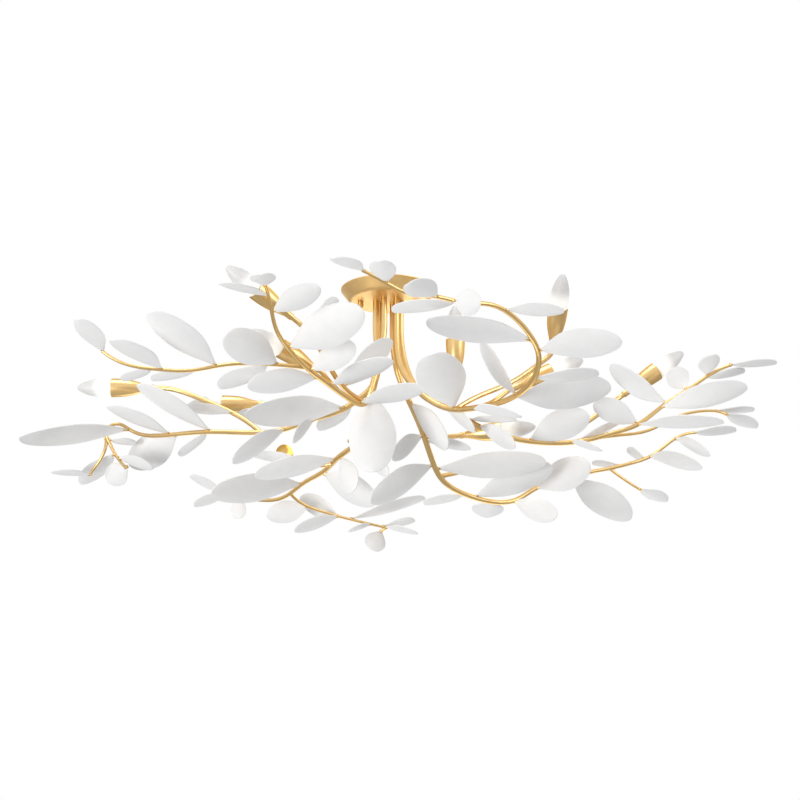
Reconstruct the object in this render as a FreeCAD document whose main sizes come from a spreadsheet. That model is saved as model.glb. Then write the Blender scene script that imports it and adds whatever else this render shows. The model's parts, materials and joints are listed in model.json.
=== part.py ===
import FreeCAD, Part
import math
import os
import Sketcher

# Semi-flush ceiling light: gold branches with white leaves and candle lamps under a round canopy.
# Millimetres. Origin at the centre of the canopy's ceiling face, +Z up, -Y toward the viewer.

V = FreeCAD.Vector
Z_AXIS = V(0, 0, 1)
doc = FreeCAD.newDocument("branch_light")

# Driving sizes
SIZES = {
    "canopy_diameter": 152,
    "canopy_flat": 124,
    "canopy_depth": 20,
    "canopy_wall": 1.2,
    "canopy_round": 10,
    "crossbar_length": 112,
    "crossbar_width": 22,
    "crossbar_thick": 2.4,
    "box_slot_spacing": 69.85,
    "box_slot_width": 5,
    "box_slot_length": 12,
    "stud_spacing": 88.9,
    "stud_diameter": 4,
    "stud_grip": 7,
    "stud_nut_flats": 7,
    "stud_nut_height": 3.2,
    "knob_diameter": 9,
    "knob_height": 10,
    "ground_screw_offset": 14,
    "ground_head_diameter": 8,
    "ground_head_height": 2.5,
    "stem_circle": 40,
    "stem_neck_diameter": 8,
    "stem_neck_height": 12,
    "stem_plate_diameter": 68,
    "stem_plate_thick": 3,
    "stem_nut_flats": 12,
    "stem_nut_height": 3.6,
    "stem_washer_diameter": 14,
    "stem_washer_thick": 1,
    "stem_diameter": 9.5,
    "stem_bore": 5,
    "neck_bore": 4.4,
    "branch_tip_diameter": 4.6,
    "side_branch_diameter": 6.4,
    "twig_diameter": 5.4,
    "twig_tip_diameter": 4.2,
    "arm_diameter": 7.6,
    "arm_bore": 4,
    "lead_diameter": 2.4,
    "leaf_thick": 1.4,
    "leaf_neck": 4,
    "cup_length": 58,
    "cup_mouth_diameter": 30,
    "cup_neck_diameter": 10.4,
    "cup_sleeve": 9,
    "cup_wall": 1.2,
    "nipple_diameter": 6,
    "socket_diameter": 20,
    "socket_foot_diameter": 11,
    "socket_foot_height": 9,
    "socket_body_height": 23,
    "socket_lift": 22,
    "shell_diameter": 14,
    "shell_wall": 0.7,
    "shell_height": 18,
    "contact_diameter": 5,
    "contact_height": 3,
    "cap_diameter": 11.8,
    "bulb_diameter": 31,
    "bulb_reach": 55,
    "bulb_wall": 1,
    "bulb_core_diameter": 18,
    "running_clearance": 0.4,
    "thread_clearance": 0.1,
    "weld_depth": 1,
}

# Leaf sizes: name, length from the branch centre to the tip, greatest width
LEAF_SIZES = {
    "long": (180, 60),
    "large": (140, 60),
    "broad": (145, 74),
    "medium": (110, 54),
    "small": (85, 40),
    "tiny": (62, 36),
    "bud": (46, 28),
    "round": (42, 38),
}
for leaf_name, (leaf_length, leaf_width) in LEAF_SIZES.items():
    SIZES["leaf_%s_length" % leaf_name] = leaf_length
    SIZES["leaf_%s_width" % leaf_name] = leaf_width

sheet = doc.addObject("Spreadsheet::Sheet", "dim")
for row, (name, value) in enumerate(SIZES.items(), 1):
    sheet.set("A%d" % row, name)
    sheet.set("B%d" % row, str(value))
    sheet.setAlias("B%d" % row, name)
doc.recompute()


def mm(expression):
    """Value of a size expression such as dim.canopy_depth / 2."""
    return float(sheet.evalExpression(expression))


def size(name):
    return mm("dim." + name)


# Main branches: angle of the stem on the canopy, share of the centre line that is stem tube, points of the
# centre line below the canopy
BRANCHES = {
    "near_left": (250, 0.54, [
        (-25, -30, -170), (-35, -45, -200), (-60, -85, -205), (-90, -130, -195), (-120, -180, -185),
        (-145, -230, -170), (-160, -280, -155), (-165, -320, -135), (-170, -360, -120)]),
    "left": (190, 0.62, [
        (-25, 0, -160), (-45, 0, -180), (-75, 0, -200), (-120, 0, -215), (-165, 5, -230), (-215, 5, -235),
        (-280, 0, -235), (-345, 0, -240), (-400, -5, -235), (-425, -10, -225), (-440, -10, -235),
        (-440, -5, -250)]),
    "far_left": (130, 0.61, [
        (-15, 20, -110), (-30, 50, -170), (-45, 90, -200), (-55, 130, -220), (-80, 170, -230),
        (-110, 220, -245), (-145, 260, -255), (-180, 300, -270), (-235, 340, -265), (-295, 370, -245)]),
    "far_right": (70, 0.44, [
        (15, 30, -130), (35, 50, -175), (55, 80, -215), (70, 115, -250), (85, 140, -275), (130, 180, -295),
        (170, 205, -300), (215, 230, -290), (245, 240, -270), (295, 255, -250), (340, 265, -235),
        (380, 275, -225), (415, 280, -215), (450, 290, -200), (490, 295, -170), (530, 305, -155)]),
    "right": (10, 0.62, [
        (35, 5, -145), (60, 0, -180), (100, 0, -200), (115, 0, -210), (140, 0, -225), (165, 5, -235),
        (205, 10, -245), (245, 10, -250), (280, 10, -250), (315, 10, -245), (350, 10, -235),
        (385, 5, -225), (435, 0, -190), (475, -5, -165), (505, -10, -145), (540, -15, -130)]),
    "near_right": (310, 0.41, [
        (20, -20, -135), (50, -30, -180), (90, -50, -210), (140, -90, -220), (185, -140, -220),
        (215, -190, -205), (220, -235, -185), (205, -285, -170), (175, -335, -155), (145, -365, -150),
        (105, -390, -155), (65, -415, -155), (28, -430, -155), (0, -445, -146), (-32, -460, -134)]),
}

# Side branch and twigs: carrier, points of the centre line from the carrier outward
OFFSHOOTS = {
    "left_upper": ("near_left", [
        (-120, -180, -185), (-145, -190, -185), (-185, -200, -185), (-240, -210, -190), (-290, -215, -200),
        (-330, -220, -200), (-375, -225, -195), (-415, -230, -175)]),
    "left_down": ("left", [(-440, -5, -250), (-445, -5, -275), (-455, 0, -290), (-465, 0, -305)]),
    "left_side": ("left", [(-441, -9, -240), (-433, -3, -258), (-421, 5, -278), (-410, 10, -290)]),
    "far_left_low": ("far_left", [
        (-170, 285, -265), (-150, 305, -280), (-115, 325, -290), (-65, 345, -300), (-5, 365, -310)]),
    "far_left_stub": ("far_left_low", [(-5, 365, -310), (-10, 367, -312), (-15, 370, -316)]),
    "far_right_low": ("far_right", [(375, 275, -225), (405, 285, -245), (430, 290, -260)]),
    "right_low": ("right", [
        (315, 10, -245), (365, 20, -235), (410, 30, -225), (460, 35, -200), (500, 40, -190), (520, 40, -190),
        (540, 45, -195)]),
}
TWIGS = [name for name in OFFSHOOTS if name != "left_upper"]

# Lamps: stem that carries the arm, points of the arm, end of the arm, point that the lamp aims at
LAMPS = {
    "01": ("left", [(-200, 5, -235), (-235, 20, -205), (-290, 35, -175), (-340, 40, -155)],
           (-385, 45, -150), (-445, 45, -150)),
    "02": ("near_left", [(-35, -45, -200), (-65, -85, -190), (-90, -160, -170), (-115, -225, -145)],
           (-145, -258, -127), (-185, -283, -102)),
    "03": ("near_left", [(-75, -107, -200), (-90, -115, -185)], (-112, -130, -169), (-162, -155, -146)),
    "04": ("left", [(-140, 2, -222), (-162, 28, -202), (-184, 60, -180)], (-210, 70, -170), (-265, 70, -171)),
    "05": ("near_right", [(82, -46, -206), (95, -45, -185)], (105, -40, -156), (105, -45, -100)),
    "06": ("near_right", [(105, -60, -215), (150, -80, -195), (195, -100, -180), (230, -120, -160)],
           (250, -130, -133), (255, -160, -95)),
    "07": ("right", [(263, 10, -250), (295, 45, -220), (330, 55, -195), (360, 60, -170)],
           (386, 65, -150), (441, 65, -110)),
    "08": ("near_right", [(137, -87, -220), (165, -75, -205)], (200, -65, -180), (255, -60, -155)),
    "09": ("far_left", [(-95, 195, -238), (-130, 210, -235), (-160, 235, -220)],
           (-175, 255, -210), (-185, 335, -180)),
    "10": ("far_left", [(-52, 120, -216), (-60, 145, -210), (-65, 170, -205)],
           (-60, 195, -195), (-40, 280, -160)),
    "11": ("far_right", [(57, 85, -220), (85, 70, -225)], (123, 60, -224), (183, 50, -219)),
    "12": ("far_right", [(83, 138, -273), (110, 160, -262)], (145, 185, -250), (210, 210, -240)),
}

# Leaves on each carrier: size, place along the carrier from 0 to 1, then three angles as a viewer below
# and in front sees the leaf: clock (0 right, 90 up), lean toward the viewer, roll about its own length.
VIEW_TILT = 16
LEAVES = {
    "left_upper": [
        ("small", 1.000, 118, 55, -35), ("medium", 0.700, 146, 50, -60), ("large", 0.440, 140, 35, -45),
        ("medium", 0.140, 150, 42, -15), ("tiny", 0.745, 201, -35, -70), ("small", 0.530, 193, -30, -70),
        ("medium", 0.190, 206, -40, -62)],
    "near_left": [
        ("tiny", 1.000, 95, 80, 0), ("small", 0.895, 26, 25, 35), ("large", 0.740, 25, 30, 10),
        ("small", 0.620, 29, 25, 0), ("medium", 0.515, 22, 25, 60), ("medium", 0.570, 187, 15, -50),
        ("small", 0.955, 168, 40, -80), ("medium", 0.375, 13, 20, 60), ("broad", 0.270, 270, 22, 0)],
    "left": [
        ("long", 0.325, 183, 33, 140), ("long", 0.905, 184, 32, 120), ("medium", 0.795, 155, 22, -65),
        ("large", 0.690, 146, 22, -60), ("medium", 0.775, 212, -27, -10), ("small", 0.700, 222, -45, -70),
        ("medium", 0.490, 212, 30, -60), ("tiny", 0.412, 227, 40, -65), ("small", 0.300, 219, -30, -50)],
    "left_side": [
        ("tiny", 0.700, 345, 20, 60), ("bud", 0.185, 349, -30, 65), ("small", 0.570, 220, -25, -50),
        ("round", 1.000, 215, -20, 0)],
    "left_down": [("tiny", 1.000, 175, 30, -75)],
    "far_left": [
        ("large", 0.518, 192, 12, -55), ("long", 0.690, 184, 37, -35), ("tiny", 1.000, 154, 0, -60),
        ("tiny", 0.980, 201, 0, -60), ("bud", 0.950, 284, 35, 0), ("medium", 0.605, 332, 20, 30),
        ("small", 0.500, 292, 45, 30), ("small", 0.415, 316, 30, 50)],
    "far_left_low": [
        ("small", 0.240, 195, -25, -10), ("small", 0.550, 197, 20, -55), ("small", 0.530, 158, -30, -25),
        ("large", 0.650, 14, -15, 70), ("bud", 0.860, 196, 25, -70), ("tiny", 0.955, 7, -20, 65),
        ("tiny", 1.000, 351, 30, 70)],
    "far_left_stub": [("round", 1.000, 240, 40, 0)],
    "far_right": [
        ("small", 0.270, 214, 45, -45), ("large", 0.340, 208, 35, -45), ("small", 0.445, 197, -35, -65),
        ("medium", 0.195, 309, 32, 55), ("small", 0.285, 352, 35, 65), ("long", 0.350, 3, 0, 42),
        ("large", 0.465, 21, 5, 38), ("medium", 0.505, 266, -72, 0), ("small", 0.560, 342, 30, 0),
        ("medium", 0.617, 27, 28, 0), ("large", 0.700, 325, -20, 30), ("bud", 0.870, 157, -50, -55),
        ("medium", 0.880, 350, 45, 60), ("tiny", 0.815, 181, -45, -70), ("small", 0.950, 333, 50, 65),
        ("small", 1.000, 1, -25, 65)],
    "far_right_low": [("tiny", 1.000, 335, -30, 55)],
    "right": [
        ("small", 0.285, 322, 45, 65), ("small", 0.350, 0, 30, 75), ("small", 0.375, 331, 42, 50),
        ("medium", 0.495, 25, 25, 25), ("small", 0.600, 21, -20, 70), ("tiny", 0.590, 345, 45, 75),
        ("small", 0.750, 155, 20, -20), ("large", 0.745, 2, 25, 70), ("medium", 0.830, 147, 10, 50),
        ("large", 0.810, 14, 15, 50), ("round", 0.885, 131, 0, -25), ("small", 0.935, 6, -35, 70),
        ("round", 0.940, 84, 40, 25), ("small", 1.000, 1, -25, 75)],
    "right_low": [("small", 0.910, 359, -35, 75), ("tiny", 1.000, 337, -25, 60)],
    "near_right": [
        ("broad", 0.290, 115, 52, -10), ("medium", 0.320, 352, 48, 75), ("long", 0.438, 4, -30, 30),
        ("medium", 0.505, 2, -25, 70), ("large", 0.580, 7, 38, 45), ("small", 0.720, 358, 20, 65),
        ("long", 0.615, 170, 30, 125), ("medium", 0.445, 124, 25, 62), ("round", 0.835, 352, 12, 0),
        ("medium", 0.820, 188, -35, -74), ("small", 0.860, 162, 60, -45), ("tiny", 0.955, 108, 65, -20),
        ("tiny", 1.000, 162, 50, -72)],
    "arm_01": [("small", 0.300, 174, 20, -65)],
    "arm_02": [("small", 0.780, 59, -35, 50), ("medium", 0.235, 43, -20, 50)],
    "arm_04": [("small", 0.500, 184, -30, -60)],
    "arm_09": [("medium", 0.350, 171, 5, -70)],
}


def origin_plane(body, role):
    return [f for f in body.Origin.OriginFeatures if f.Role == role][0]


def new_sketch(body, name, role):
    sketch = body.newObject("Sketcher::SketchObject", name)
    sketch.AttachmentSupport = (origin_plane(body, role), [""])
    sketch.MapMode = "FlatFace"
    return sketch


def pin_point(sketch, geometry, point, x, y):
    """Hold a sketch point at two size expressions from the sketch origin."""
    for kind, expression, axis in (("DistanceX", x, -2), ("DistanceY", y, -1)):
        value = mm(expression)
        if abs(value) < 1e-9:
            sketch.addConstraint(Sketcher.Constraint("PointOnObject", geometry, point, axis))
        else:
            index = sketch.addConstraint(Sketcher.Constraint(kind, -1, 1, geometry, point, value))
            sketch.setExpression("Constraints[%d]" % index, expression)


def outline(sketch, corners):
    """Closed outline of straight lines through corners given as pairs of expressions."""
    first = sketch.GeometryCount
    count = len(corners)
    points = [V(mm(x), mm(y), 0) for x, y in corners]
    for i in range(count):
        sketch.addGeometry(Part.LineSegment(points[i], points[(i + 1) % count]))
    for i in range(count):
        sketch.addConstraint(Sketcher.Constraint("Coincident", first + i, 2, first + (i + 1) % count, 1))
    for i, (x, y) in enumerate(corners):
        pin_point(sketch, first + i, 1, x, y)


def slot_outline(sketch, middle, half_run, half_width):
    """Slot with round ends about a point on the sketch's X axis; half_run reaches to the end centres."""
    left, right = "%s - %s" % (middle, half_run), "%s + %s" % (middle, half_run)
    first = sketch.GeometryCount
    low, high = "-" + half_width, half_width
    corners = [(left, low), (right, low), (right, high), (left, high)]
    points = [V(mm(x), mm(y), 0) for x, y in corners]
    sketch.addGeometry(Part.LineSegment(points[0], points[1]))
    sketch.addGeometry(Part.Arc(points[1], V(mm(right) + mm(half_width), 0, 0), points[2]))
    sketch.addGeometry(Part.LineSegment(points[2], points[3]))
    sketch.addGeometry(Part.Arc(points[3], V(mm(left) - mm(half_width), 0, 0), points[0]))
    for i in (0, 2):
        sketch.addConstraint(Sketcher.Constraint("Coincident", first + i, 2, first + i + 1, 1))
        sketch.addConstraint(Sketcher.Constraint("Coincident", first + i + 1, 2, first + (i + 2) % 4, 1))
        for end in (1, 2):
            pin_point(sketch, first + i, end, *corners[i + end - 1])
    for arc, middle_of_end in ((first + 1, right), (first + 3, left)):
        index = sketch.addConstraint(Sketcher.Constraint("DistanceX", -1, 1, arc, 3, mm(middle_of_end)))
        sketch.setExpression("Constraints[%d]" % index, middle_of_end)


def turned(label, profile):
    """Body turned about Z from a profile of radius and height expressions."""
    body = doc.addObject("PartDesign::Body", label)
    sketch = new_sketch(body, label + "_profile", "XZ_Plane")
    outline(sketch, profile)
    turn = body.newObject("PartDesign::Revolution", label + "_turn")
    turn.Profile = sketch
    turn.ReferenceAxis = (sketch, ["V_Axis"])
    turn.Angle = 360
    doc.recompute()
    return body


def drill(body, name, centres, diameter):
    """Round holes right through a body, centres as pairs of expressions."""
    sketch = new_sketch(body, name + "_sketch", "XY_Plane")
    for i, (x, y) in enumerate(centres):
        sketch.addGeometry(Part.Circle(V(mm(x), mm(y), 0), Z_AXIS, mm(diameter) / 2))
        pin_point(sketch, i, 3, x, y)
        index = sketch.addConstraint(Sketcher.Constraint("Diameter", i, mm(diameter)))
        sketch.setExpression("Constraints[%d]" % index, diameter)
    pocket = body.newObject("PartDesign::Pocket", name)
    pocket.Profile = sketch
    pocket.Type = "ThroughAll"
    pocket.Midplane = True
    doc.recompute()


def round_edges(body, name, radius, wanted):
    """Fillet on the edges of a body's tip that the test picks."""
    tip = body.Tip
    names = ["Edge%d" % (i + 1) for i, edge in enumerate(tip.Shape.Edges) if wanted(edge)]
    fillet = body.newObject("PartDesign::Fillet", name)
    fillet.Base = (tip, names)
    fillet.Radius = mm(radius)
    fillet.setExpression("Radius", radius)
    doc.recompute()


def computed(label, shape, placement=None):
    feature = doc.addObject("Part::Feature", label)
    feature.Shape = shape
    if placement:
        feature.Placement = placement
    return feature


def placed(shape, placement):
    copy = shape.copy()
    copy.Placement = placement.multiply(copy.Placement)
    return copy


def copies(label, shape, placements):
    return computed(label, Part.makeCompound([placed(shape, p) for p in placements]))


def hex_nut(label, flats, height, bore):
    """Plain nut with its lower face at z = 0."""
    prism = doc.addObject("Part::Prism", label + "_prism")
    prism.Polygon = 6
    prism.setExpression("Circumradius", "%s / sqrt(3)" % flats)
    prism.setExpression("Height", height)
    hole = doc.addObject("Part::Cylinder", label + "_hole")
    hole.setExpression("Radius", "(%s) / 2" % bore)
    hole.setExpression("Height", height)
    nut = doc.addObject("Part::Cut", label)
    nut.Base = prism
    nut.Tool = hole
    doc.recompute()
    return nut


# Ceiling fixing
STEM_ANGLES = [angle for angle, share, points in BRANCHES.values()]
STEM_CENTRES = [("dim.stem_circle / 2 * cos(%d deg)" % a, "dim.stem_circle / 2 * sin(%d deg)" % a)
                for a in STEM_ANGLES]
STUD_CENTRES = [("dim.stud_spacing / 2", "0"), ("-dim.stud_spacing / 2", "0")]


def make_canopy():
    body = turned("canopy", [
        ("0", "-dim.canopy_depth"), ("dim.canopy_flat / 2", "-dim.canopy_depth"),
        ("dim.canopy_diameter / 2", "-dim.canopy_wall"), ("dim.canopy_diameter / 2", "0"),
        ("dim.canopy_diameter / 2 - dim.canopy_wall * 1.5", "0"),
        ("dim.canopy_flat / 2 - dim.canopy_wall / 2", "-dim.canopy_depth + dim.canopy_wall"),
        ("0", "-dim.canopy_depth + dim.canopy_wall")])
    corner_radii = [size("canopy_flat") / 2, size("canopy_flat") / 2 - size("canopy_wall") / 2]

    def lower_corner(edge):
        is_round = edge.Curve.TypeId == "Part::GeomCircle"
        return is_round and any(abs(edge.Curve.Radius - r) < 0.01 for r in corner_radii)

    round_edges(body, "canopy_soft_edge", "dim.canopy_round", lower_corner)
    drill(body, "canopy_stem_holes", STEM_CENTRES, "dim.stem_neck_diameter + dim.running_clearance")
    drill(body, "canopy_stud_holes", STUD_CENTRES, "dim.stud_diameter + dim.running_clearance")
    return body


def make_crossbar():
    body = doc.addObject("PartDesign::Body", "crossbar")
    sketch = new_sketch(body, "crossbar_outline", "XY_Plane")
    slot_outline(sketch, "0", "(dim.crossbar_length - dim.crossbar_width) / 2", "dim.crossbar_width / 2")
    pad = body.newObject("PartDesign::Pad", "crossbar_plate")
    pad.Profile = sketch
    pad.setExpression("Length", "dim.crossbar_thick")
    pad.Reversed = True
    doc.recompute()
    drill(body, "crossbar_stud_holes", STUD_CENTRES, "dim.stud_diameter + dim.thread_clearance")
    drill(body, "crossbar_ground_hole", [("dim.ground_screw_offset", "0")],
          "dim.stud_diameter + dim.thread_clearance")
    slots = new_sketch(body, "crossbar_slots_sketch", "XY_Plane")
    for side in (-1, 1):
        slot_outline(slots, "%d * dim.box_slot_spacing / 2" % side,
                     "(dim.box_slot_length - dim.box_slot_width) / 2", "dim.box_slot_width / 2")
    pocket = body.newObject("PartDesign::Pocket", "crossbar_slots")
    pocket.Profile = slots
    pocket.Type = "ThroughAll"
    pocket.Midplane = True
    doc.recompute()
    return body


def make_fixing():
    floor = -size("canopy_depth") + size("canopy_wall")
    plate = turned("stem_plate", [
        ("0", "-dim.canopy_depth + dim.canopy_wall"),
        ("dim.stem_plate_diameter / 2", "-dim.canopy_depth + dim.canopy_wall"),
        ("dim.stem_plate_diameter / 2", "-dim.canopy_depth + dim.canopy_wall + dim.stem_plate_thick"),
        ("0", "-dim.canopy_depth + dim.canopy_wall + dim.stem_plate_thick")])
    drill(plate, "stem_plate_holes", STEM_CENTRES, "dim.stem_neck_diameter + dim.running_clearance")
    stem_places = [V(mm(x), mm(y), 0) for x, y in STEM_CENTRES]
    stud_places = [V(mm(x), mm(y), 0) for x, y in STUD_CENTRES]
    washer_level = floor + size("stem_plate_thick")
    washer = turned("washer_pattern", [
        ("(dim.stem_neck_diameter + dim.running_clearance) / 2", "0"), ("dim.stem_washer_diameter / 2", "0"),
        ("dim.stem_washer_diameter / 2", "dim.stem_washer_thick"),
        ("(dim.stem_neck_diameter + dim.running_clearance) / 2", "dim.stem_washer_thick")])
    washers = copies("stem_washers", washer.Shape, [
        FreeCAD.Placement(p + Z_AXIS * washer_level, FreeCAD.Rotation()) for p in stem_places])
    nut = hex_nut("stem_nut_pattern", "dim.stem_nut_flats", "dim.stem_nut_height",
                  "dim.stem_neck_diameter + dim.thread_clearance")
    nut_level = washer_level + size("stem_washer_thick")
    nuts = copies("stem_nuts", nut.Shape, [
        FreeCAD.Placement(p + Z_AXIS * nut_level, FreeCAD.Rotation()) for p in stem_places])
    stud_bottom = -size("canopy_depth") - size("stud_grip")
    stud = Part.makeCylinder(size("stud_diameter") / 2, -stud_bottom, V(0, 0, stud_bottom))
    studs = copies("canopy_studs", stud, [FreeCAD.Placement(p, FreeCAD.Rotation()) for p in stud_places])
    stud_nut = hex_nut("stud_nut_pattern", "dim.stud_nut_flats", "dim.stud_nut_height",
                       "dim.stud_diameter + dim.thread_clearance")
    stud_nut_level = -size("crossbar_thick") - size("stud_nut_height")
    stud_nuts = copies("stud_lock_nuts", stud_nut.Shape, [
        FreeCAD.Placement(p + Z_AXIS * stud_nut_level, FreeCAD.Rotation()) for p in stud_places])
    knob = turned("knob_pattern", [
        ("(dim.stud_diameter + dim.thread_clearance) / 2", "0"), ("dim.knob_diameter / 2 - 0.8", "0"),
        ("dim.knob_diameter / 2", "-0.8"), ("dim.knob_diameter / 2", "-dim.knob_height + 3"),
        ("dim.knob_diameter / 2 - 1.4", "-dim.knob_height + 0.8"),
        ("dim.knob_diameter / 4", "-dim.knob_height"), ("0", "-dim.knob_height"),
        ("0", "-dim.stud_grip - 0.5"),
        ("(dim.stud_diameter + dim.thread_clearance) / 2", "-dim.stud_grip - 0.5")])
    under_canopy = Z_AXIS * -size("canopy_depth")
    knobs = []
    for i, place in enumerate(stud_places):
        level = FreeCAD.Placement(place + under_canopy, FreeCAD.Rotation())
        knobs.append(computed("knob_nut_%d" % (i + 1), knob.Shape, level))
    ground = turned("ground_screw", [
        ("0", "-dim.crossbar_thick - dim.ground_head_height"),
        ("dim.ground_head_diameter / 2 - 1", "-dim.crossbar_thick - dim.ground_head_height"),
        ("dim.ground_head_diameter / 2", "-dim.crossbar_thick - dim.ground_head_height + 1"),
        ("dim.ground_head_diameter / 2", "-dim.crossbar_thick"),
        ("dim.stud_diameter / 2", "-dim.crossbar_thick"), ("dim.stud_diameter / 2", "0"), ("0", "0")])
    ground.Placement = FreeCAD.Placement(V(size("ground_screw_offset"), 0, 0), FreeCAD.Rotation())
    return [plate, washers, nuts, studs, stud_nuts, ground] + knobs


# Branch work
def smooth_line(points, first=None, last=None):
    """Smooth centre line through points, square to a given direction at its first or last point."""
    line = Part.BSplineCurve()
    points = [V(*p) for p in points]
    ends = [first] + [None] * (len(points) - 2) + [last]
    line.interpolate(Points=points, Tangents=[end or V(1, 0, 0) for end in ends],
                     TangentFlags=[end is not None for end in ends])
    return line


def at_share(line, share):
    """Parameter of a centre line at a share of its length."""
    if share >= 1:
        return line.LastParameter
    return line.parameterAtDistance(line.length() * share, line.FirstParameter)


def bar(line, start, end, radius_at, pitch=14):
    """Round bar along a centre line between two shares of its length."""
    steps = max(3, int(math.ceil(line.length() * (end - start) / pitch)))
    rings = []
    across = None
    for i in range(steps + 1):
        share = start + (end - start) * i / steps
        parameter = at_share(line, share)
        along = V(*line.tangent(parameter)[0])
        if across is None:
            across = along.cross(V(0, 1, 0)) if abs(along.y) < 0.9 else along.cross(V(1, 0, 0))
        across = across - along * across.dot(along)
        across.normalize()
        ring = Part.Circle(line.value(parameter), along, radius_at(share))
        ring.XAxis = across
        rings.append(Part.Wire(ring.toShape()))
    return Part.makeLoft(rings, True, False)


def main_solid(shape):
    """Largest solid of a cut, without the slivers beside it."""
    return max(shape.Solids, key=lambda solid: solid.Volume)


def even(diameter):
    return lambda share: diameter / 2


def taper(first, last, power):
    return lambda share: (first + (last - first) * share ** power) / 2


LINES = {}
RADII = {}
shoulder = -size("canopy_depth")
STEM_DROP = 55
for name, (angle, share, points) in BRANCHES.items():
    x = size("stem_circle") / 2 * math.cos(math.radians(angle))
    y = size("stem_circle") / 2 * math.sin(math.radians(angle))
    stem_points = [(x, y, shoulder), (x, y, shoulder - STEM_DROP)]
    LINES[name] = smooth_line(stem_points + points, first=-Z_AXIS)
    RADII[name] = taper(size("stem_diameter"), size("branch_tip_diameter"), 2)
for name, (carrier, points) in OFFSHOOTS.items():
    LINES[name] = smooth_line(points)
    RADII[name] = taper(size("twig_diameter"), size("twig_tip_diameter"), 1)
RADII["left_upper"] = taper(size("side_branch_diameter"), size("branch_tip_diameter"), 1)


class Lamp:
    """Arm centre line with its straight end, and the frame of the cup on that end."""

    def __init__(self, name, stem, points, end, aim):
        self.name = name
        self.stem = stem
        self.end = V(*end)
        self.axis = (V(*aim) - self.end).normalize()
        self.bend_end = self.end - self.axis * size("cup_sleeve")
        self.line = smooth_line(points + [tuple(self.bend_end)], last=self.axis)
        self.frame = FreeCAD.Placement(self.end, FreeCAD.Rotation(Z_AXIS, self.axis))

    def along(self, diameter, past_end):
        """Round bar of one diameter along the arm, running past its end."""
        bend = bar(self.line, 0, 1, even(diameter))
        straight = Part.makeCylinder(diameter / 2, size("cup_sleeve") + past_end, self.bend_end, self.axis)
        return bend.fuse(straight)


LAMP_LIST = [Lamp(name, *row) for name, row in LAMPS.items()]
for lamp in LAMP_LIST:
    LINES["arm_" + lamp.name] = lamp.line
    RADII["arm_" + lamp.name] = even(size("arm_diameter"))
BORE_END = 0.02
END_CUT = 1


def make_branch_work():
    """Stem tubes and branch rods, side branch and twigs coped onto them, lamp arms and their leads."""
    neck_height = size("stem_neck_height")
    outer = {}
    stems, rods, arms, leads = [], [], [], []
    for name, (angle, share, points) in BRANCHES.items():
        line = LINES[name]
        top = line.value(line.FirstParameter)
        tube = bar(line, 0, share, RADII[name])
        rod = bar(line, share, 1, RADII[name])
        outer[name] = [tube, rod]
        neck = Part.makeCylinder(size("stem_neck_diameter") / 2, neck_height, top)
        neck_bore = Part.makeCylinder(size("neck_bore") / 2, neck_height + 2 * END_CUT,
                                      top - Z_AXIS * END_CUT)
        bore = bar(line, 0, share - BORE_END, even(size("stem_bore")))
        stem = tube.fuse(neck).cut(neck_bore).cut(bore)
        lead_rise = neck_height + size("stem_nut_height")
        lead = bar(line, 0, share - 2 * BORE_END, even(size("lead_diameter")))
        lead = lead.fuse(Part.makeCylinder(size("lead_diameter") / 2, lead_rise, top))
        for lamp in [lamp for lamp in LAMP_LIST if lamp.stem == name]:
            arm_bore = lamp.along(size("arm_bore"), END_CUT)
            arms.append(main_solid(lamp.along(size("arm_diameter"), 0).cut(tube)).cut(arm_bore))
            stem = stem.cut(arm_bore)
            lead = lead.fuse(lamp.along(size("lead_diameter"), size("socket_lift")))
        stems.append(computed("stem_" + name, main_solid(stem)))
        rods.append(computed("branch_" + name, rod))
        leads.append(lead)
    offshoots = {}
    for name, (carrier, points) in OFFSHOOTS.items():
        piece = bar(LINES[name], 0, 1, RADII[name])
        outer[name] = [piece]
        earlier = [offshoots[n] for n in offshoots if OFFSHOOTS[n][0] == carrier]
        for other in outer[carrier] + earlier:
            piece = main_solid(piece.cut(other))
        offshoots[name] = piece
    rods.append(computed("branch_left_upper", offshoots["left_upper"]))
    rods.append(computed("twigs", Part.makeCompound([offshoots[n] for n in TWIGS])))
    return stems + rods + [computed("lamp_arms", Part.makeCompound(arms)),
                           computed("lead_wires", Part.makeCompound(leads))]


# Leaves
RIGHT = V(1, 0, 0)
UP = V(0, -math.sin(math.radians(VIEW_TILT)), math.cos(math.radians(VIEW_TILT)))
TOWARD = V(0, -math.cos(math.radians(VIEW_TILT)), -math.sin(math.radians(VIEW_TILT)))
WIDEST = 0.53
LEAF_CUP = 0.24
LEAF_ARCH = 0.12
LEAST_SLANT = 0.25
LOWER_STATIONS = [0, 0.07, 0.18, 0.35]
UPPER_STATIONS = [0, 0.4, 0.68, 0.87, 0.965, 0.998]


def leaf_outline(width, neck):
    """Half widths of a leaf along its length, as pairs of share and half width."""
    half = width / 2
    rows = []
    for t in LOWER_STATIONS:
        rows.append((t, neck / 2 + (half - neck / 2) * math.sin(math.pi / 2 * t / WIDEST) ** 1.15))
    for t in UPPER_STATIONS:
        rows.append((WIDEST + (1 - WIDEST) * t, half * math.sqrt(1 - t * t)))
    return rows


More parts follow.
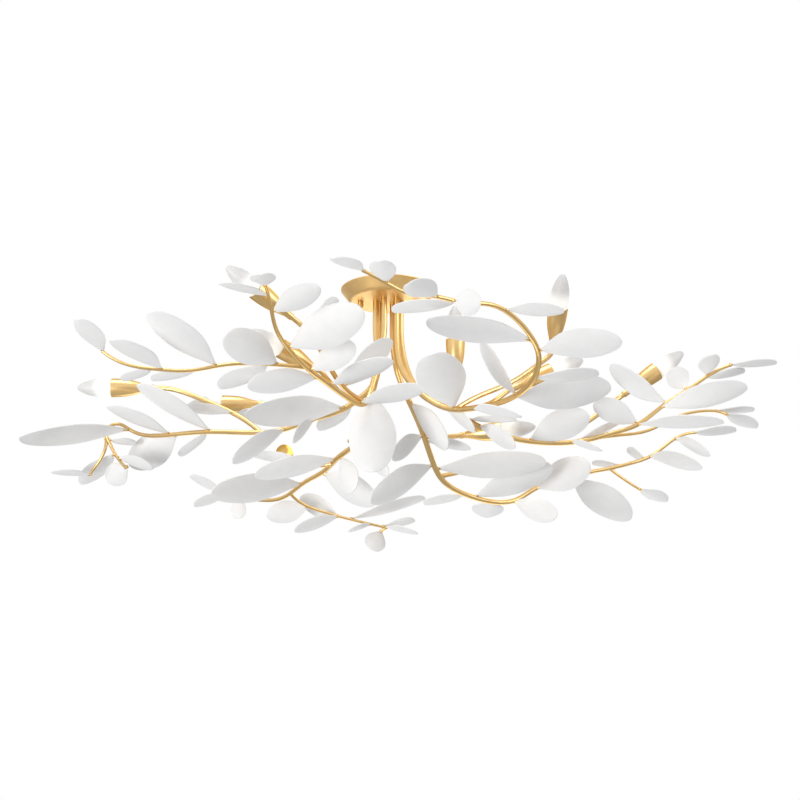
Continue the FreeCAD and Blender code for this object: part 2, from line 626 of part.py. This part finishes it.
def make_leaf(carrier, kind, share, clock, lean, roll):
    line = LINES[carrier]
    parameter = at_share(line, share)
    base = line.value(parameter)
    clock, lean, roll = math.radians(clock), math.radians(lean), math.radians(roll)
    along = (RIGHT * math.cos(clock) + UP * math.sin(clock)) * math.cos(lean) + TOWARD * math.sin(lean)
    square = TOWARD - along * TOWARD.dot(along)
    square.normalize()
    face = square * math.cos(roll) + along.cross(square) * math.sin(roll)
    across = along.cross(face)
    length = size("leaf_%s_length" % kind)
    start = -2 * size("weld_depth")
    if share < 1:
        slant = along.cross(V(*line.tangent(parameter)[0])).Length
        start = (RADII[carrier](share) - size("weld_depth")) / max(slant, LEAST_SLANT)
    thick = size("leaf_thick")
    sections = []
    for t, half in leaf_outline(size("leaf_%s_width" % kind), size("leaf_neck")):
        middle = base + along * (start + (length - start) * t) + face * (LEAF_ARCH * length * t * (1 - t))
        sag = face * (-LEAF_CUP * half)
        back = face * -thick
        left, right = middle - across * half + sag, middle + across * half + sag
        front_arc = Part.Arc(left, middle, right).toShape()
        back_arc = Part.Arc(right + back, middle + back, left + back).toShape()
        sections.append(Part.Wire([front_arc, Part.makeLine(right, right + back), back_arc,
                                   Part.makeLine(left + back, left)]))
    return Part.makeLoft(sections, True, False)


LEAF_GROUPS = {
    "leaves_left_upper": ["left_upper"],
    "leaves_near_left": ["near_left"],
    "leaves_left": ["left", "left_side", "left_down"],
    "leaves_far_left": ["far_left", "far_left_low", "far_left_stub"],
    "leaves_far_right": ["far_right", "far_right_low"],
    "leaves_right": ["right", "right_low"],
    "leaves_near_right": ["near_right"],
    "leaves_lamp_arms": ["arm_01", "arm_02", "arm_04", "arm_09"],
}


def make_leaves():
    made = []
    for group, carriers in LEAF_GROUPS.items():
        blades = [make_leaf(carrier, *row) for carrier in carriers for row in LEAVES[carrier]]
        made.append(computed(group, Part.makeCompound(blades)))
    return made


# Lamps
def turned_curve(points, closing):
    """Solid turned about Z from a smooth curve through points, closed by straight lines."""
    curve = Part.BSplineCurve()
    curve.interpolate([V(r, 0, z) for r, z in points])
    corners = [V(points[-1][0], 0, points[-1][1])] + [V(r, 0, z) for r, z in closing]
    corners.append(V(points[0][0], 0, points[0][1]))
    edges = [curve.toShape()] + [Part.makeLine(corners[i], corners[i + 1]) for i in range(len(corners) - 1)]
    return Part.Face(Part.Wire(edges)).revolve(V(0, 0, 0), Z_AXIS, 360)


def cup_shape():
    mouth = size("cup_mouth_diameter") / 2
    neck = size("cup_neck_diameter") / 2
    length = size("cup_length")
    wall = size("cup_wall")
    sleeve = size("cup_sleeve")
    swell = [(0, 0), (0.2, 0.30), (0.42, 0.68), (0.65, 0.90), (1, 1)]
    outer = [(neck + (mouth - neck) * rise, length * share) for share, rise in swell]
    inner = [(max(r - wall, neck - wall), z) for r, z in outer[1:]]
    outside = turned_curve(outer, [(0, length), (0, 0)])
    inside = turned_curve(inner, [(0, length), (0, inner[0][1])])
    collar = Part.makeCylinder(neck, sleeve, V(0, 0, -sleeve))
    clearance = size("thread_clearance")
    arm_hole = Part.makeCylinder((size("arm_diameter") + clearance) / 2, sleeve, V(0, 0, -sleeve))
    nipple_hole = Part.makeCylinder((size("nipple_diameter") + clearance) / 2, length)
    return outside.fuse(collar).cut(inside).cut(arm_hole).cut(nipple_hole)


def make_lamps():
    frames = [lamp.frame for lamp in LAMP_LIST]
    cup = cup_shape()
    made = [copies("lamp_cups_" + stem, cup, [lamp.frame for lamp in LAMP_LIST if lamp.stem == stem])
            for stem in BRANCHES]
    nipple = turned("nipple_pattern", [
        ("dim.lead_diameter / 2 + dim.running_clearance", "0"), ("dim.nipple_diameter / 2", "0"),
        ("dim.nipple_diameter / 2", "dim.socket_lift"),
        ("dim.lead_diameter / 2 + dim.running_clearance", "dim.socket_lift")])
    made.append(copies("socket_nipples", nipple.Shape, frames))
    foot = "dim.socket_lift + dim.socket_foot_height"
    top = "%s + dim.socket_body_height" % foot
    seat = "%s - dim.shell_height - dim.contact_height" % top
    socket = turned("socket_pattern", [
        ("0", "dim.socket_lift"), ("dim.socket_foot_diameter / 2", "dim.socket_lift"),
        ("dim.socket_diameter / 2", foot), ("dim.socket_diameter / 2", top), ("dim.shell_diameter / 2", top),
        ("dim.shell_diameter / 2", seat), ("0", seat)])
    made.append(copies("lamp_sockets", socket.Shape, frames))
    shell_foot = "%s + dim.contact_height" % seat
    shell = turned("shell_pattern", [
        ("dim.shell_diameter / 2 - dim.shell_wall", shell_foot), ("dim.shell_diameter / 2", shell_foot),
        ("dim.shell_diameter / 2", top), ("dim.shell_diameter / 2 - dim.shell_wall", top)])
    made.append(copies("socket_shells", shell.Shape, frames))
    contact = turned("contact_pattern", [
        ("0", seat), ("dim.contact_diameter / 2", seat), ("dim.contact_diameter / 2", shell_foot),
        ("0", shell_foot)])
    made.append(copies("socket_contacts", contact.Shape, frames))
    cap_foot = "%s + dim.running_clearance" % shell_foot
    bulb = bulb_shape(mm(cap_foot), mm(top))
    for lamp in LAMP_LIST:
        made.append(computed("bulb_" + lamp.name, bulb, lamp.frame))
    return made


def bulb_shape(cap_foot, socket_top):
    """Candle bulb: glass envelope, inner light core and screw cap on one axis."""
    mouth = size("cup_length")
    radius = size("bulb_diameter") / 2
    reach = size("bulb_reach")
    wall = size("bulb_wall")
    cap = size("cap_diameter") / 2
    neck = socket_top + 1
    form = [(cap, neck), (radius * 0.76, mouth - 1), (radius * 0.97, mouth + reach * 0.10),
            (radius, mouth + reach * 0.22), (radius * 0.92, mouth + reach * 0.46),
            (radius * 0.66, mouth + reach * 0.74), (radius * 0.3, mouth + reach * 0.95), (0, mouth + reach)]
    inside = [(r - wall, z) for r, z in form[:-1]] + [(0, mouth + reach - wall)]
    envelope = turned_curve(form, [(0, neck)]).cut(turned_curve(inside, [(0, neck)]))
    screw_cap = Part.makeCylinder(cap, neck - cap_foot, V(0, 0, cap_foot))
    core = size("bulb_core_diameter") / 2
    core_top = mouth + reach * 0.36
    dome = [(core * 0.5, neck), (core * 0.55, mouth - 2), (core, mouth + reach * 0.12),
            (core * 0.75, mouth + reach * 0.28), (0, core_top)]
    light_core = turned_curve(dome, [(0, neck)])
    return Part.makeCompound([envelope, screw_cap, light_core])


parts = [make_canopy(), make_crossbar()] + make_fixing() + make_branch_work() + make_leaves() + make_lamps()
doc.recompute()

for item in doc.Objects:
    if "Invalid" in item.State or "Error" in item.State:
        raise RuntimeError("%s is in state %s" % (item.Label, item.State))
os.makedirs("parts", exist_ok=True)
for part in parts:
    if part.Shape.isNull() or not part.Shape.isValid():
        raise RuntimeError("%s has no valid shape" % part.Label)
    part.Shape.exportStep("parts/%s.step" % part.Label)
print("%d parts" % len(parts))
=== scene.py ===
import json
import math

import bmesh
import bpy
import numpy as np
from mathutils import Matrix, Vector


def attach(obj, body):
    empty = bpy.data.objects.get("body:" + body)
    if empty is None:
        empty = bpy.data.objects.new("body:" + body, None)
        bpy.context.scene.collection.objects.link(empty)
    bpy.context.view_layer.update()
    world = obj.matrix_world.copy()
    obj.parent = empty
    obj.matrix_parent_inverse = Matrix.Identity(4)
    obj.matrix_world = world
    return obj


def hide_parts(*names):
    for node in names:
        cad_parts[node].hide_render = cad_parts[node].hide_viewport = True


# Semi-flush ceiling light with gold branches, white leaves and candle bulbs. Metres, origin at the
# centre of the canopy's ceiling face, +Z up, -Y toward the viewer.

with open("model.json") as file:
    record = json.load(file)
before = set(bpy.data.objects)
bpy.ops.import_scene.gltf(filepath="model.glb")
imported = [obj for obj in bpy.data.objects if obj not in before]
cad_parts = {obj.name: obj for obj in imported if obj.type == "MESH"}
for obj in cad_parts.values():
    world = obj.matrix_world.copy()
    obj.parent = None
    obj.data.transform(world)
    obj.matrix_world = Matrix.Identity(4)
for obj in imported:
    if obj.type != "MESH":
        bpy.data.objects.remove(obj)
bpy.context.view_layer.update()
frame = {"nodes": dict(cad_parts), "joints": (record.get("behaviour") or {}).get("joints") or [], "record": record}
MM = 0.001

# View of the photograph: 800 by 800 pixels, seen from below the canopy
VIEW_TILT = math.radians(16)
VIEW_DISTANCE = 3.0
CANOPY_X, CANOPY_Y = 388.5, 290.0
IMAGE_SIZE = 800
FOCAL_PIXELS = 1875
SENSOR = 36

# Bulb sizes along the lamp axis, measured from the end of the arm
CAP_FOOT = 36.4 * MM
CAP_TOP = 55 * MM
CAP_RADIUS = 5.9 * MM
CUP_MOUTH = 58 * MM
BULB_RADIUS = 15.5 * MM
BULB_REACH = 55 * MM
GLASS_WALL = 1 * MM
CORE_RADIUS = 9 * MM

# Two tones that the colour of each finish drifts between
GOLD_TONES = (0.79, 0.54, 0.235), (0.83, 0.58, 0.26)
WHITE_TONES = (0.83, 0.83, 0.83), (0.87, 0.87, 0.865)
ZINC_TONES = (0.42, 0.42, 0.42), (0.58, 0.58, 0.57)
BRASS_TONES = (0.56, 0.38, 0.14), (0.72, 0.52, 0.22)
SOCKET_TONES = (0.012, 0.012, 0.012), (0.03, 0.03, 0.03)
SLEEVE_TONES = (0.6, 0.59, 0.55), (0.72, 0.71, 0.67)
GLASS_TONES = (0.73, 0.72, 0.71), (0.77, 0.76, 0.75)
CORE_TONES = (0.93, 0.91, 0.86), (0.98, 0.97, 0.94)
FLOOR_TONES = (0.82, 0.82, 0.82), (0.86, 0.86, 0.86)

# Seams of the gold leaf, and its tint at a low angle: a dark brown tint that paints shade at the edges of the
# round branches, and a near-white tint that paints a highlight across the flat canopy
SEAM_COLOUR = (0.63, 0.405, 0.155)
SEAM_STRENGTH = 0.14
SEAM_WIDTH = 0.05
SHEETS_PER_METRE = 24.0
# Painted shade: dark brown tint at a low angle along the edges of the branches
BRANCH_EDGE_SHADE = (0.5, 0.34, 0.155, 1)
# Painted highlight: near-white tint at a low angle across the canopy
CANOPY_EDGE_LIGHT = (1, 0.95, 0.85, 1)

# Lit foot of the bulb's glass: its colour, and where the glow starts to fade and ends
GLASS_LIT = (0.93, 0.92, 0.88)
GLOW_START = CUP_MOUTH + 0.25 * BULB_REACH
GLOW_END = CUP_MOUTH + 0.62 * BULB_REACH

# Places of a Mix node's sockets, whose names repeat for each kind of value
MIX_VECTORS, MIX_VECTOR_OUT = (4, 5), 1
MIX_COLOURS, MIX_COLOUR_OUT = (6, 7), 2


# Shader nodes
def set_socket(tree, socket, value):
    """Gives a socket a number, a colour or the output of another node."""
    if isinstance(value, bpy.types.NodeSocket):
        tree.links.new(value, socket)
    else:
        socket.default_value = value


def feed(tree, node, **sockets):
    for name, value in sockets.items():
        set_socket(tree, node.inputs[name.replace("_", " ")], value)


def add(tree, kind, settings=None, **sockets):
    node = tree.nodes.new(kind)
    for name, value in (settings or {}).items():
        setattr(node, name, value)
    feed(tree, node, **sockets)
    return node


def new_material(name, **sockets):
    """Material with uniform values set on its shader, and its tree and shader for more nodes."""
    material = bpy.data.materials.new(name)
    material.use_nodes = True
    shader = material.node_tree.nodes["Principled BSDF"]
    feed(material.node_tree, shader, **sockets)
    return material, material.node_tree, shader


def object_place(tree):
    return add(tree, "ShaderNodeTexCoord").outputs["Object"]


def noise(tree, scale, detail, roughness=0.55, distortion=0.0):
    return add(tree, "ShaderNodeTexNoise", Vector=object_place(tree), Scale=scale, Detail=detail,
               Roughness=roughness, Distortion=distortion).outputs["Fac"]


def spread(tree, value, low, high, low_out, high_out, smooth_ends=False):
    """Value between two limits stretched onto two other limits."""
    kind = "SMOOTHSTEP" if smooth_ends else "LINEAR"
    return add(tree, "ShaderNodeMapRange", {"interpolation_type": kind}, Value=value, From_Min=low,
               From_Max=high, To_Min=low_out, To_Max=high_out).outputs["Result"]


def patches(tree, scale, detail, low_out=0.0, high_out=1.0):
    """Noise whose usual range is stretched onto two limits."""
    return spread(tree, noise(tree, scale, detail), 0.3, 0.7, low_out, high_out)


def blend(tree, factor, first, second):
    """Mix of two colours, each plain or the output of another node."""
    node = add(tree, "ShaderNodeMix", {"data_type": "RGBA"}, Factor=factor)
    for place, colour in zip(MIX_COLOURS, (first, second)):
        plain = isinstance(colour, tuple)
        set_socket(tree, node.inputs[place], (*colour, 1) if plain else colour)
    return node.outputs[MIX_COLOUR_OUT]


def bump(tree, height, strength, distance):
    node = add(tree, "ShaderNodeBump", Height=height, Strength=strength, Distance=distance)
    return node.outputs["Normal"]


# Materials
def gold_leaf(name, edge, smoothest, roughest):
    """Gold leaf laid in small sheets, whose tone drifts, with faint seams and a satin grain."""
    # The tint at a low angle paints light and shade: painted shade on the branch edges, a painted highlight on the
    # canopy
    material, tree, shader = new_material(name, Metallic=1.0, Specular_Tint=edge)
    place = object_place(tree)
    drift = add(tree, "ShaderNodeTexNoise", Vector=place, Scale=30.0, Detail=3.0).outputs["Color"]
    bent = add(tree, "ShaderNodeMix", {"data_type": "VECTOR"}, Factor=0.03)
    for socket, value in zip(MIX_VECTORS, (place, drift)):
        set_socket(tree, bent.inputs[socket], value)
    sheets = add(tree, "ShaderNodeTexVoronoi", {"feature": "DISTANCE_TO_EDGE"},
                 Vector=bent.outputs[MIX_VECTOR_OUT], Scale=SHEETS_PER_METRE)
    seam = spread(tree, sheets.outputs["Distance"], 0.0, SEAM_WIDTH, SEAM_STRENGTH, 0.0)
    tone = spread(tree, noise(tree, 55, 5), 0.32, 0.68, 0.0, 1.0)
    feed(tree, shader, Base_Color=blend(tree, seam, blend(tree, tone, *GOLD_TONES), SEAM_COLOUR),
         Roughness=patches(tree, 140, 4, smoothest, roughest),
         Normal=bump(tree, noise(tree, 520, 4), 0.01, 0.2 * MM))
    return material


def white_leaf():
    """Matte white coat with a fine plaster grain and a slight mottle."""
    material, tree, shader = new_material("white_leaf", Specular_IOR_Level=0.35)
    mottle = spread(tree, noise(tree, 38, 5, 0.6, 0.4), 0.3, 0.7, 0.0, 1.0)
    grain = add(tree, "ShaderNodeMath", {"operation": "ADD"})
    set_socket(tree, grain.inputs[0], noise(tree, 260, 6, 0.65))
    set_socket(tree, grain.inputs[1], spread(tree, noise(tree, 45, 3, 0.5, 0.6), 0.0, 1.0, 0.0, 0.6))
    feed(tree, shader, Base_Color=blend(tree, mottle, *WHITE_TONES),
         Roughness=patches(tree, 160, 3, 0.5, 0.72),
         Normal=bump(tree, grain.outputs[0], 0.12, 0.6 * MM))
    return material


def metal(name, tones, smoothest, roughest):
    """Plain metal with a worn, uneven polish."""
    material, tree, shader = new_material(name, Metallic=1.0)
    feed(tree, shader, Base_Color=blend(tree, patches(tree, 90, 4), *tones),
         Roughness=patches(tree, 300, 3, smoothest, roughest),
         Normal=bump(tree, noise(tree, 700, 3), 0.08, 0.3 * MM))
    return material


def plastic(name, tones):
    """Dull moulded or painted surface."""
    material, tree, shader = new_material(name, Specular_IOR_Level=0.4)
    feed(tree, shader, Base_Color=blend(tree, patches(tree, 120, 4), *tones),
         Roughness=patches(tree, 400, 2, 0.45, 0.65),
         Normal=bump(tree, noise(tree, 900, 2), 0.1, 0.2 * MM))
    return material


def opal_glass():
    """Frosted bulb glass: warm white near the cup, around the light core, and pale grey at the tip."""
    material, tree, shader = new_material("bulb_glass", Transmission_Weight=0.12, IOR=1.45)
    height = add(tree, "ShaderNodeSeparateXYZ", Vector=object_place(tree)).outputs["Z"]
    lit = spread(tree, height, GLOW_START, GLOW_END, 1.0, 0.0, smooth_ends=True)
    frost = patches(tree, 180, 3)
    colour = blend(tree, lit, blend(tree, frost, *GLASS_TONES), GLASS_LIT)
    feed(tree, shader, Base_Color=colour, Emission_Color=colour,
         Emission_Strength=spread(tree, lit, 0.0, 1.0, 0.05, 0.24),
         Roughness=spread(tree, frost, 0.0, 1.0, 0.32, 0.44),
         Normal=bump(tree, noise(tree, 1400, 2), 0.03, 0.1 * MM))
    return material


def light_core():
    """Soft white diffuser of the bulb, faintly warm."""
    material, tree, shader = new_material("bulb_core", Emission_Strength=0.5)
    glow = patches(tree, 180, 3)
    colour = blend(tree, glow, *CORE_TONES)
    feed(tree, shader, Base_Color=colour, Emission_Color=colour,
         Roughness=spread(tree, glow, 0.0, 1.0, 0.5, 0.65),
         Normal=bump(tree, noise(tree, 900, 2), 0.06, 0.2 * MM))
    return material


MATERIALS = {
    # Branch gold, whose dark brown tint at a low angle is painted shade at the edges
    "gold_leaf": gold_leaf("gold_leaf", BRANCH_EDGE_SHADE, 0.28, 0.33),
    "white_leaf": white_leaf(),
    "zinc_steel": metal("zinc_steel", ZINC_TONES, 0.3, 0.48),
    "brass": metal("brass", BRASS_TONES, 0.26, 0.42),
    "socket": plastic("socket", SOCKET_TONES),
    "lead_sleeve": plastic("lead_sleeve", SLEEVE_TONES),
}
for subpart in frame["record"]["subparts"]:
    node = frame["nodes"][subpart["node"]]
    if subpart["material_slot"] in MATERIALS:
        node.data.materials.clear()
        node.data.materials.append(MATERIALS[subpart["material_slot"]])
# Canopy gold, whose near-white tint at a low angle is a painted highlight on the canopy seen from below
frame["nodes"]["canopy"].data.materials[0] = gold_leaf("gold_leaf_satin", CANOPY_EDGE_LIGHT, 0.42, 0.5)


# Meshes and objects
def add_object(name, data):
    thing = bpy.data.objects.new(name, data)
    bpy.context.scene.collection.objects.link(thing)
    return thing


def ring_angles(sides):
    return [2 * math.pi * i / sides for i in range(sides)]


def tube_faces(first, rings, sides):
    """Faces between rings of points that follow one another from the first point."""
    faces = []
    for row in range(rings - 1):
        low, high = first + row * sides, first + (row + 1) * sides
        for i in range(sides):
            j = (i + 1) % sides
            faces.append((low + i, low + j, high + j, high + i))
    return faces


def smooth_mesh(name, points, faces, materials):
    mesh = bpy.data.meshes.new(name)
    mesh.from_pydata(points, [], faces)
    mesh.polygons.foreach_set("use_smooth", [True] * len(faces))
    for material in materials:
        mesh.materials.append(material)
    return mesh


# Pegs that fix the leaves to the branches, as rings of reach, half width and half thickness
PEG_SIDES = 14
PEG_RINGS = [(-1.2 * MM, 2.9 * MM, 2.3 * MM), (1.5 * MM, 2.8 * MM, 2.1 * MM), (4 * MM, 2.5 * MM, 1.7 * MM),
             (6.5 * MM, 1.9 * MM, 1.25 * MM), (8.5 * MM, 1.1 * MM, 0.8 * MM), (9.3 * MM, 0.3 * MM, 0.3 * MM)]

# Widest span of the flat face at a leaf's foot, and how far the mesh may miss it
LEAF_FOOT = 4.24 * MM
FOOT_SPREAD = 0.08 * MM


def flat_patches(mesh):
    """Groups of joined faces of a mesh, each as its points and mean normal."""
    form = bmesh.new()
    form.from_mesh(mesh)
    left = set(form.faces)
    while left:
        patch = [left.pop()]
        for face in patch:
            for edge in face.edges:
                for other in edge.link_faces:
                    if other in left:
                        left.remove(other)
                        patch.append(other)
        points = np.array([vert.co for face in patch for vert in face.verts])
        yield points, np.sum([face.normal * face.calc_area() for face in patch], axis=0)
    form.free()


def leaf_feet(mesh):
    """Centre, growing direction and width direction at the foot of each leaf in a node."""
    for points, normal in flat_patches(mesh):
        reach = np.linalg.norm(np.ptp(points, axis=0))
        if reach > 2 * LEAF_FOOT:
            continue
        points = np.unique(np.round(points, 7), axis=0)
        span = max(np.linalg.norm(points - point, axis=1).max() for point in points)
        if abs(span - LEAF_FOOT) > FOOT_SPREAD:
            continue
        centre = points.mean(axis=0)
        across = np.linalg.svd(points - centre)[2][0]
        yield Vector(centre), -Vector(normal).normalized(), Vector(across)


def peg_points(centre, along, across):
    through = along.cross(across)
    points = []
    for reach, wide, thick in PEG_RINGS:
        for angle in ring_angles(PEG_SIDES):
            side = across * (wide * math.cos(angle)) + through * (thick * math.sin(angle))
            points.append(centre + along * reach + side)
    return points


def make_pegs():
    points, faces = [], []
    for name, node in frame["nodes"].items():
        if not name.startswith("leaves_"):
            continue
        for foot in leaf_feet(node.data):
            first = len(points)
            points += peg_points(*foot)
            faces += tube_faces(first, len(PEG_RINGS), PEG_SIDES)
            faces.append(tuple(range(first + PEG_SIDES - 1, first - 1, -1)))
            faces.append(tuple(range(len(points) - PEG_SIDES, len(points))))
    pegs = add_object("leaf_pegs", smooth_mesh("leaf_pegs", points, faces, [MATERIALS["gold_leaf"]]))
    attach(pegs, "fixture")


make_pegs()

# Bulb's envelope and light core past the cup, as shares of their radius and of the bulb's reach
BULB_SIDES = 48
BULB_FORM = [(0.97, 0.10), (1, 0.22), (0.92, 0.46), (0.66, 0.74), (0.3, 0.95)]
CORE_FORM = [(1, 0.12), (0.75, 0.28)]
CORE_REACH = 0.36
TIP_HOLE = 0.05 * MM

# Envelope and core inside the cup
NECK = (0.76 * BULB_RADIUS, CUP_MOUTH - 1 * MM)
CORE_FOOT = (0.5 * CORE_RADIUS, CAP_TOP)
CORE_NECK = (0.55 * CORE_RADIUS, CUP_MOUTH - 2 * MM)

# Bulb's cap: its thread, the button at its foot and its neck
THREAD_PITCH = 2.8 * MM
THREAD_DEPTH = 0.35 * MM
THREAD_ROWS = 40
THREAD_START = CAP_FOOT + 0.12 * (CAP_TOP - CAP_FOOT)
BUTTON = [(TIP_HOLE, CAP_FOOT), (0.4 * CAP_RADIUS, CAP_FOOT), (0.55 * CAP_RADIUS, CAP_FOOT + 1 * MM)]
CAP_NECK = (0.7 * CAP_RADIUS, CAP_TOP)


# Bulbs
def smooth(points, steps=8):
    """Points of a smooth curve through the given radius and height pairs."""
    curve = []
    last = len(points) - 1
    for i in range(last):
        a, b, c, d = (Vector(points[min(max(j, 0), last)]) for j in (i - 1, i, i + 1, i + 2))
        for k in range(steps):
            t = k / steps
            curve.append(0.5 * (2 * b + (c - a) * t + (2 * a - 5 * b + 4 * c - d) * t ** 2
                                + (3 * b - a - 3 * c + d) * t ** 3))
    return [(max(r, 0), z) for r, z in curve] + [points[-1]]


def past_cup(radius, form):
    return [(radius * wide, CUP_MOUTH + BULB_REACH * high) for wide, high in form]


def envelope_profile():
    """Outer and inner side of the glass, closed at its foot."""
    outer = [(CAP_RADIUS, CAP_TOP), NECK] + past_cup(BULB_RADIUS, BULB_FORM)
    outer.append((TIP_HOLE, CUP_MOUTH + BULB_REACH))
    inner = []
    for r, z in outer:
        drop = GLASS_WALL if r < CAP_RADIUS else 0
        inner.append((max(r - GLASS_WALL, TIP_HOLE), z - drop))
    return smooth(outer) + smooth(inner)[::-1] + outer[:1]


def core_profile():
    dome = [CORE_FOOT, CORE_NECK] + past_cup(CORE_RADIUS, CORE_FORM)
    dome.append((TIP_HOLE, CUP_MOUTH + BULB_REACH * CORE_REACH))
    return [(TIP_HOLE, CAP_TOP)] + smooth(dome)


def cap_profile():
    rise = (CAP_TOP - THREAD_START) / THREAD_ROWS
    wall = [(CAP_RADIUS, THREAD_START + rise * row) for row in range(THREAD_ROWS + 1)]
    return BUTTON + wall + [CAP_NECK]


def thread_radius(r, z, angle):
    """Radius of the cap, cut by its thread where the cap is widest."""
    if r < CAP_RADIUS:
        return r
    return r - THREAD_DEPTH * (0.5 + 0.5 * math.cos(2 * math.pi * z / THREAD_PITCH - angle))


def plain_radius(r, z, angle):
    return r


def bulb_mesh():
    """Candle bulb about Z: frosted envelope with a wall, the light core inside it, and a threaded cap."""
    shapes = [(envelope_profile(), plain_radius, opal_glass()), (core_profile(), plain_radius, light_core()),
              (cap_profile(), thread_radius, MATERIALS["brass"])]
    points, faces, slots = [], [], []
    for slot, (profile, radius_at, _) in enumerate(shapes):
        faces += tube_faces(len(points), len(profile), BULB_SIDES)
        slots += [slot] * (len(faces) - len(slots))
        for r, z in profile:
            for angle in ring_angles(BULB_SIDES):
                out = radius_at(r, z, angle)
                points.append((out * math.cos(angle), out * math.sin(angle), z))
    mesh = smooth_mesh("candle_bulb", points, faces, [material for _, _, material in shapes])
    mesh.polygons.foreach_set("material_index", slots)
    mesh.validate()
    return mesh


candle = bulb_mesh()
for joint in frame["joints"]:
    if not joint["name"].startswith("bulb_"):
        continue
    number = joint["name"].split("_")[1]
    bulb = add_object("candle_bulb_" + number, candle)
    turn = Vector((0, 0, 1)).rotation_difference(Vector(joint["axis"])).to_matrix().to_4x4()
    bulb.matrix_world = Matrix.Translation(Vector(joint["pos_m"])) @ turn
    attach(bulb, joint["child"])
    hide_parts("bulb_" + number)

# Floor far enough below for views from under the light
FLOOR_DEPTH = 5.0
FLOOR_REACH = 120.0


def make_floor():
    corners = [(-1, -1), (1, -1), (1, 1), (-1, 1)]
    points = [(x * FLOOR_REACH, y * FLOOR_REACH, -FLOOR_DEPTH) for x, y in corners]
    mesh = bpy.data.meshes.new("floor")
    mesh.from_pydata(points, [], [(0, 1, 2, 3)])
    mesh.materials.append(plastic("floor", FLOOR_TONES))
    add_object("floor", mesh)


make_floor()

# Soft boxes: where each stands, its side in metres and its power in watts
SOFT_BOXES = {
    "key": ((-2.6, -3.4, -1.5), 2.2, 31),
    "fill": ((2.6, -1.6, 0.6), 1.6, 6),
    "top": ((-0.4, -0.9, 2.6), 1.4, 7),
    "low": ((0.4, 2.4, -1.8), 2.2, 9),
    "back": ((1.0, 3.4, 1.8), 2.2, 18),
}
LIGHT_AIM = Vector((0, 0, -0.2))
LIGHT_SPREAD = math.radians(90)
AMBIENT = 0.54


# Light
def soft_box(name, place, side, power):
    lamp = bpy.data.lights.new(name, "AREA")
    lamp.shape = "SQUARE"
    lamp.size = side
    lamp.energy = power
    lamp.spread = LIGHT_SPREAD
    holder = add_object(name, lamp)
    holder.location = place
    holder.rotation_euler = (LIGHT_AIM - Vector(place)).to_track_quat("-Z", "Y").to_euler()


def make_world():
    """White to the camera and in reflections, and a softer even light on the object."""
    world = bpy.data.worlds.new("studio")
    bpy.context.scene.world = world
    world.use_nodes = True
    tree = world.node_tree
    rays = add(tree, "ShaderNodeLightPath").outputs
    shown = rays["Is Camera Ray"]
    for kind in ("Is Glossy Ray", "Is Transmission Ray"):
        either = add(tree, "ShaderNodeMath", {"operation": "MAXIMUM"})
        set_socket(tree, either.inputs[0], shown)
        set_socket(tree, either.inputs[1], rays[kind])
        shown = either.outputs[0]
    strength = spread(tree, shown, 0.0, 1.0, AMBIENT, 1.0)
    feed(tree, tree.nodes["Background"], Color=(1, 1, 1, 1), Strength=strength)


for box, (place, side, power) in SOFT_BOXES.items():
    soft_box(box, place, side, power)
make_world()


# Camera
def make_camera():
    right = Vector((1, 0, 0))
    ahead = Vector((0, math.cos(VIEW_TILT), math.sin(VIEW_TILT)))
    up = Vector((0, -math.sin(VIEW_TILT), math.cos(VIEW_TILT)))
    pixel = VIEW_DISTANCE / FOCAL_PIXELS
    middle = IMAGE_SIZE / 2
    sideways = right * ((middle - CANOPY_X) * pixel)
    upward = up * ((CANOPY_Y - middle) * pixel)
    place = sideways + upward - ahead * VIEW_DISTANCE
    data = bpy.data.cameras.new("camera")
    data.sensor_width = SENSOR
    data.lens = SENSOR * FOCAL_PIXELS / IMAGE_SIZE
    camera = add_object("camera", data)
    camera.matrix_world = Matrix.Translation(place) @ Matrix((right, up, -ahead)).transposed().to_4x4()
    bpy.context.scene.camera = camera


make_camera()
bpy.context.scene.view_settings.view_transform = "Standard"
